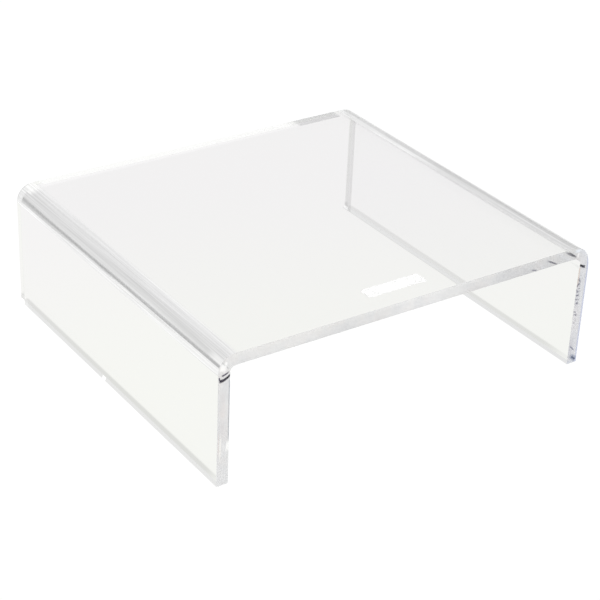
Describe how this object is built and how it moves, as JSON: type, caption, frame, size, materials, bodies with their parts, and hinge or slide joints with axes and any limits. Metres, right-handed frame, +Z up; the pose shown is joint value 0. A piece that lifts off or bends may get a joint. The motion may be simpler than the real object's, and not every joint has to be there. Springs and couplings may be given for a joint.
{
  "type": "monitor riser stand",
  "caption": "Clear desk riser bent from one acrylic sheet: a flat rectangular platform on two full-depth side legs, open at the front and back.",
  "frame": {"origin": "centre of the footprint, on the surface the riser stands on", "axes": "+X along the front edge to the viewer's right, +Y from the front edge to the back edge, +Z up through the platform"},
  "size_m": [0.35, 0.32, 0.11],
  "materials": {
    "clear_acrylic": "clear cast acrylic, gloss faces and flame-polished edges",
    "label_film": "blank white self-adhesive film, satin"
  },
  "bodies": {
    "root": {"riser_sheet": "clear_acrylic", "blank_label": "label_film"}
  },
  "joints": []
}
